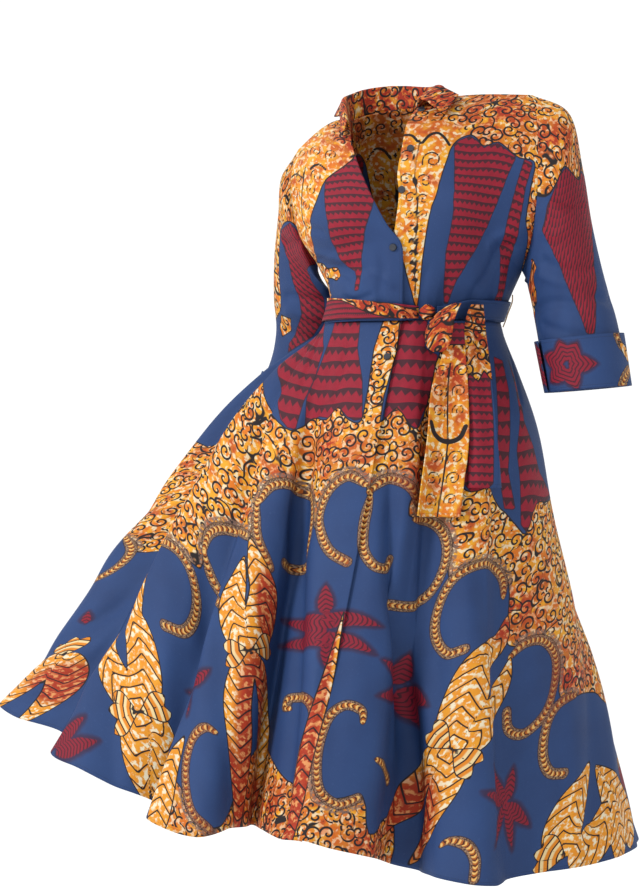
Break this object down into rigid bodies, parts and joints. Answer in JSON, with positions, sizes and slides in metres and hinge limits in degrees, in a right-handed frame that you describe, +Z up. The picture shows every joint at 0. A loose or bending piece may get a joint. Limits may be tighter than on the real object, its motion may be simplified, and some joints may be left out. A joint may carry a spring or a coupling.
{
  "type": "dress",
  "caption": "Knee-length wax print shirt dress with open collar, tie sash, cuffed three-quarter sleeves and a flared skirt held out at one side, in its worn pose.",
  "frame": {"origin": "between the shoulders at the height where the dress rests on them", "axes": "+Z up towards the collar, -Y out of the front, +X towards the wearer's left"},
  "size_m": [0.9183, 0.5784, 1.1221],
  "materials": {
    "cloth_blue": "printed cotton, blue ground",
    "cloth_orange": "printed cotton, orange ground",
    "cloth_red": "printed cotton, red ground",
    "button": "dark shiny plastic",
    "thread": "twisted sewing thread"
  },
  "bodies": {
    "root": {"bodice_front_right": "cloth_blue", "bodice_front_left": "cloth_blue", "bodice_back": "cloth_blue", "sleeve_right": "cloth_blue", "cuff_right": "cloth_red", "sleeve_left": "cloth_blue", "cuff_left": "cloth_red", "skirt_front_right": "cloth_blue", "skirt_back_left": "cloth_blue", "skirt_back_right": "cloth_blue", "skirt_front_left": "cloth_blue", "collar": "cloth_orange", "sash_right": "cloth_red", "sash_left": "cloth_red", "sash_back": "cloth_red", "sash_knot": "cloth_orange", "sash_tail_inner": "cloth_red", "sash_tail_outer": "cloth_red", "sash_loop": "cloth_orange", "belt_loop_left": "thread", "button_neck": "button", "button_upper": "button", "button_chest": "button", "button_fastened": "button", "button_skirt": "button"}
  },
  "joints": []
}
